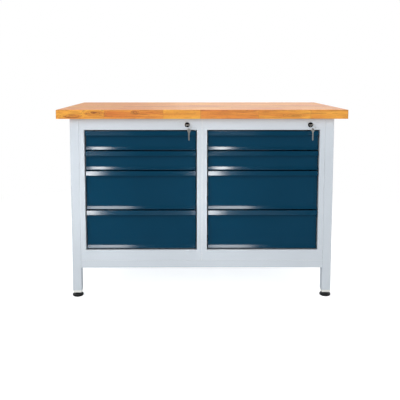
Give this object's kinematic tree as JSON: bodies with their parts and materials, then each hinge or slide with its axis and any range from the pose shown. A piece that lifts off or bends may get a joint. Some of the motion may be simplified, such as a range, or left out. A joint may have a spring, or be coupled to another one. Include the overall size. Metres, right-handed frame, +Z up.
{
  "type": "workbench with drawers",
  "caption": "Free-standing workbench: thick beech top on a square-tube frame holding lockable steel cabinets of full-width lip-front drawers, with levelling feet.",
  "frame": {"origin": "on the floor, under the middle of the worktop", "axes": "+X to the bench's right as its user faces it, -Y towards the user, +Z up"},
  "size_m": [1.285, 0.7, 0.855],
  "materials": {
    "beech": "oiled beech staves",
    "grey_powder_coat": "light grey satin powder coat",
    "blue_powder_coat": "deep petrol blue gloss powder coat",
    "zinc_steel": "zinc plated steel",
    "nickel": "nickel plated",
    "dark_chrome": "black chromed zinc casting",
    "black_plastic": "moulded black plastic",
    "light_plastic": "moulded light grey plastic"
  },
  "bodies": {
    "bench": {"worktop": "beech", "worktop_screws": "zinc_steel", "leg_front_left": "grey_powder_coat", "leg_front_right": "grey_powder_coat", "leg_rear_left": "grey_powder_coat", "leg_rear_right": "grey_powder_coat", "rail_front": "grey_powder_coat", "rail_rear": "grey_powder_coat", "side_rails_left": "grey_powder_coat", "side_rails_right": "grey_powder_coat", "leg_inserts": "light_plastic", "frame_bolts": "zinc_steel", "cabinet_left": "grey_powder_coat", "cabinet_right": "grey_powder_coat", "back_panel_left": "grey_powder_coat", "back_panel_right": "grey_powder_coat", "runner_posts": "grey_powder_coat", "outer_runners": "zinc_steel", "bar_guides": "black_plastic", "shaft_brackets": "zinc_steel", "lock_body_left": "dark_chrome", "lock_body_right": "dark_chrome"},
    "drawer_left_1": {"drawer_front_left_1": "blue_powder_coat", "drawer_box_left_1": "blue_powder_coat"},
    "runner_left_1": {"middle_runners_left_1": "zinc_steel"},
    "drawer_left_2": {"drawer_front_left_2": "blue_powder_coat", "drawer_box_left_2": "blue_powder_coat"},
    "runner_left_2": {"middle_runners_left_2": "zinc_steel"},
    "drawer_left_3": {"drawer_front_left_3": "blue_powder_coat", "drawer_box_left_3": "blue_powder_coat"},
    "runner_left_3": {"middle_runners_left_3": "zinc_steel"},
    "drawer_left_4": {"drawer_front_left_4": "blue_powder_coat", "drawer_box_left_4": "blue_powder_coat"},
    "runner_left_4": {"middle_runners_left_4": "zinc_steel"},
    "key_left": {"key_left": "nickel", "lock_shaft_left": "dark_chrome"},
    "locking_bar_left": {"locking_bar_left": "zinc_steel"},
    "key_ring_left": {"key_ring_left": "nickel"},
    "spare_key_left": {"spare_key_left": "nickel"},
    "drawer_right_1": {"drawer_front_right_1": "blue_powder_coat", "drawer_box_right_1": "blue_powder_coat"},
    "runner_right_1": {"middle_runners_right_1": "zinc_steel"},
    "drawer_right_2": {"drawer_front_right_2": "blue_powder_coat", "drawer_box_right_2": "blue_powder_coat"},
    "runner_right_2": {"middle_runners_right_2": "zinc_steel"},
    "drawer_right_3": {"drawer_front_right_3": "blue_powder_coat", "drawer_box_right_3": "blue_powder_coat"},
    "runner_right_3": {"middle_runners_right_3": "zinc_steel"},
    "drawer_right_4": {"drawer_front_right_4": "blue_powder_coat", "drawer_box_right_4": "blue_powder_coat"},
    "runner_right_4": {"middle_runners_right_4": "zinc_steel"},
    "key_right": {"key_right": "nickel", "lock_shaft_right": "dark_chrome"},
    "locking_bar_right": {"locking_bar_right": "zinc_steel"},
    "key_ring_right": {"key_ring_right": "nickel"},
    "spare_key_right": {"spare_key_right": "nickel"},
    "foot_front_left": {"foot_front_left": "black_plastic"},
    "foot_front_right": {"foot_front_right": "black_plastic"},
    "foot_rear_left": {"foot_rear_left": "black_plastic"},
    "foot_rear_right": {"foot_rear_right": "black_plastic"}
  },
  "joints": [
    {"name": "drawer_slide_left_1", "type": "slide", "parent": "bench", "child": "drawer_left_1", "axis": [0, -1, 0], "range_m": [0, 0.45]},
    {"name": "runner_slide_left_1", "type": "slide", "parent": "bench", "child": "runner_left_1", "axis": [0, -1, 0], "range_m": [0, 0.225]},
    {"name": "drawer_slide_left_2", "type": "slide", "parent": "bench", "child": "drawer_left_2", "axis": [0, -1, 0], "range_m": [0, 0.45]},
    {"name": "runner_slide_left_2", "type": "slide", "parent": "bench", "child": "runner_left_2", "axis": [0, -1, 0], "range_m": [0, 0.225]},
    {"name": "drawer_slide_left_3", "type": "slide", "parent": "bench", "child": "drawer_left_3", "axis": [0, -1, 0], "range_m": [0, 0.45]},
    {"name": "runner_slide_left_3", "type": "slide", "parent": "bench", "child": "runner_left_3", "axis": [0, -1, 0], "range_m": [0, 0.225]},
    {"name": "drawer_slide_left_4", "type": "slide", "parent": "bench", "child": "drawer_left_4", "axis": [0, -1, 0], "range_m": [0, 0.45]},
    {"name": "runner_slide_left_4", "type": "slide", "parent": "bench", "child": "runner_left_4", "axis": [0, -1, 0], "range_m": [0, 0.225]},
    {"name": "key_turn_left", "type": "hinge", "parent": "bench", "child": "key_left", "pos_m": [-0.066, -0.325, 0.787], "axis": [0, 1, 0], "range_deg": [0, 90]},
    {"name": "bar_lift_left", "type": "slide", "parent": "bench", "child": "locking_bar_left", "axis": [0, 0, 1], "range_m": [0, 0.01413]},
    {"name": "ring_swing_left", "type": "hinge", "parent": "bench", "child": "key_ring_left", "pos_m": [-0.066, -0.343, 0.787], "axis": [-1, 0, 0], "range_deg": [-5, 30]},
    {"name": "spare_key_swing_left", "type": "hinge", "parent": "key_ring_left", "child": "spare_key_left", "pos_m": [-0.0585, -0.343, 0.76795], "axis": [-1, 0, 0], "range_deg": [-5, 35]},
    {"name": "drawer_slide_right_1", "type": "slide", "parent": "bench", "child": "drawer_right_1", "axis": [0, -1, 0], "range_m": [0, 0.45]},
    {"name": "runner_slide_right_1", "type": "slide", "parent": "bench", "child": "runner_right_1", "axis": [0, -1, 0], "range_m": [0, 0.225]},
    {"name": "drawer_slide_right_2", "type": "slide", "parent": "bench", "child": "drawer_right_2", "axis": [0, -1, 0], "range_m": [0, 0.45]},
    {"name": "runner_slide_right_2", "type": "slide", "parent": "bench", "child": "runner_right_2", "axis": [0, -1, 0], "range_m": [0, 0.225]},
    {"name": "drawer_slide_right_3", "type": "slide", "parent": "bench", "child": "drawer_right_3", "axis": [0, -1, 0], "range_m": [0, 0.45]},
    {"name": "runner_slide_right_3", "type": "slide", "parent": "bench", "child": "runner_right_3", "axis": [0, -1, 0], "range_m": [0, 0.225]},
    {"name": "drawer_slide_right_4", "type": "slide", "parent": "bench", "child": "drawer_right_4", "axis": [0, -1, 0], "range_m": [0, 0.45]},
    {"name": "runner_slide_right_4", "type": "slide", "parent": "bench", "child": "runner_right_4", "axis": [0, -1, 0], "range_m": [0, 0.225]},
    {"name": "key_turn_right", "type": "hinge", "parent": "bench", "child": "key_right", "pos_m": [0.4815, -0.325, 0.787], "axis": [0, 1, 0], "range_deg": [0, 90]},
    {"name": "bar_lift_right", "type": "slide", "parent": "bench", "child": "locking_bar_right", "axis": [0, 0, 1], "range_m": [0, 0.01413]},
    {"name": "ring_swing_right", "type": "hinge", "parent": "bench", "child": "key_ring_right", "pos_m": [0.4815, -0.343, 0.787], "axis": [-1, 0, 0], "range_deg": [-5, 30]},
    {"name": "spare_key_swing_right", "type": "hinge", "parent": "key_ring_right", "child": "spare_key_right", "pos_m": [0.489, -0.343, 0.76795], "axis": [-1, 0, 0], "range_deg": [-5, 35]},
    {"name": "foot_front_left_height", "type": "slide", "parent": "bench", "child": "foot_front_left", "axis": [0, 0, -1], "range_m": [0, 0.012]},
    {"name": "foot_front_right_height", "type": "slide", "parent": "bench", "child": "foot_front_right", "axis": [0, 0, -1], "range_m": [0, 0.012]},
    {"name": "foot_rear_left_height", "type": "slide", "parent": "bench", "child": "foot_rear_left", "axis": [0, 0, -1], "range_m": [0, 0.012]},
    {"name": "foot_rear_right_height", "type": "slide", "parent": "bench", "child": "foot_rear_right", "axis": [0, 0, -1], "range_m": [0, 0.012]}
  ],
  "couplings": [
    {"joint": "runner_slide_left_1", "follows": "drawer_slide_left_1", "ratio": 0.5},
    {"joint": "runner_slide_left_2", "follows": "drawer_slide_left_2", "ratio": 0.5},
    {"joint": "runner_slide_left_3", "follows": "drawer_slide_left_3", "ratio": 0.5},
    {"joint": "runner_slide_left_4", "follows": "drawer_slide_left_4", "ratio": 0.5},
    {"joint": "key_turn_left", "follows": "bar_lift_left", "rad_per_m": 111.1},
    {"joint": "runner_slide_right_1", "follows": "drawer_slide_right_1", "ratio": 0.5},
    {"joint": "runner_slide_right_2", "follows": "drawer_slide_right_2", "ratio": 0.5},
    {"joint": "runner_slide_right_3", "follows": "drawer_slide_right_3", "ratio": 0.5},
    {"joint": "runner_slide_right_4", "follows": "drawer_slide_right_4", "ratio": 0.5},
    {"joint": "key_turn_right", "follows": "bar_lift_right", "rad_per_m": 111.1}
  ]
}
